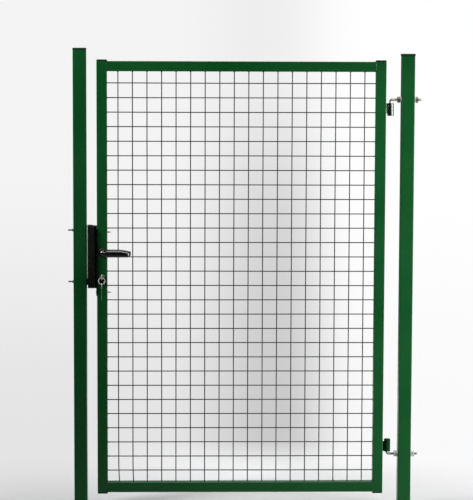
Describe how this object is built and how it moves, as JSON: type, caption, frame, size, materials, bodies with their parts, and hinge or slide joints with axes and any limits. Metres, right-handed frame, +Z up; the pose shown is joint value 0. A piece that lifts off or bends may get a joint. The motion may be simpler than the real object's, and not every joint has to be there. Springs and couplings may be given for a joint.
{
  "type": "mesh garden gate",
  "caption": "Green steel garden gate: a leaf of welded wire mesh in a square-tube frame, hung on hook bolts between two square posts, with a lever lock and keeper.",
  "frame": {"origin": "centre of the hinge post's foot, on the ground", "axes": "+Z up, +X from the leaf towards the hinge post and on past it, -Y is the side the keys are on and the leaf opens to"},
  "size_m": [1.219, 0.11, 1.6],
  "materials": {
    "green_paint": "glossy dark green powder coat",
    "eye_paint": "glossy very dark green coat",
    "mesh_wire": "satin dark green coat on wire",
    "cap_plastic": "moulded brown-black plastic",
    "zinc_plate": "zinc plated",
    "zinc_steel": "zinc plated",
    "black_plastic": "moulded black plastic",
    "black_steel": "black coated steel",
    "lever_black": "glossy black",
    "nickel": "nickel plated brass",
    "key_steel": "polished steel"
  },
  "bodies": {
    "posts": {"latch_post": "green_paint", "hinge_post": "green_paint", "latch_post_cap": "cap_plastic", "hinge_post_cap": "cap_plastic", "strike_plate": "zinc_plate", "keeper_housing": "black_plastic", "keeper_stop": "black_plastic", "keeper_bolts": "zinc_steel", "keeper_nuts": "zinc_steel", "upper_hinge_hook": "zinc_steel", "lower_hinge_hook": "zinc_steel", "upper_hook_nuts": "zinc_steel", "lower_hook_nuts": "zinc_steel", "upper_hook_washers": "zinc_steel", "lower_hook_washers": "zinc_steel"},
    "leaf": {"latch_stile": "green_paint", "hinge_stile": "green_paint", "top_rail": "green_paint", "bottom_rail": "green_paint", "latch_stile_caps": "cap_plastic", "hinge_stile_caps": "cap_plastic", "mesh_upper": "mesh_wire", "mesh_lower": "mesh_wire", "upper_hinge_eye": "eye_paint", "lower_hinge_eye": "eye_paint", "lock_forend": "black_steel", "lock_case": "zinc_steel", "lock_bolts": "nickel", "lock_screws": "zinc_steel", "front_rose": "lever_black", "back_rose": "lever_black", "lock_cylinder": "nickel", "key": "nickel"},
    "handle": {"front_lever": "lever_black", "back_lever": "lever_black", "lever_spindle": "zinc_steel"},
    "keys": {"key_ring": "key_steel", "spare_key": "key_steel"}
  },
  "joints": [
    {"name": "leaf_swing", "type": "hinge", "parent": "posts", "child": "leaf", "pos_m": [-0.059, 0, 0.8], "axis": [0, 0, 1], "range_deg": [0, 90]},
    {"name": "handle_press", "type": "hinge", "parent": "leaf", "child": "handle", "pos_m": [-1.054, 0, 0.898], "axis": [0, 1, 0], "range_deg": [0, 40], "stiffness_Nm_per_rad": 0.8, "springref_deg": -28.65},
    {"name": "key_ring_swing", "type": "hinge", "parent": "leaf", "child": "keys", "pos_m": [-1.054, -0.0485, 0.81165], "axis": [-1, 0, 0], "range_deg": [-15, 60]}
  ]
}
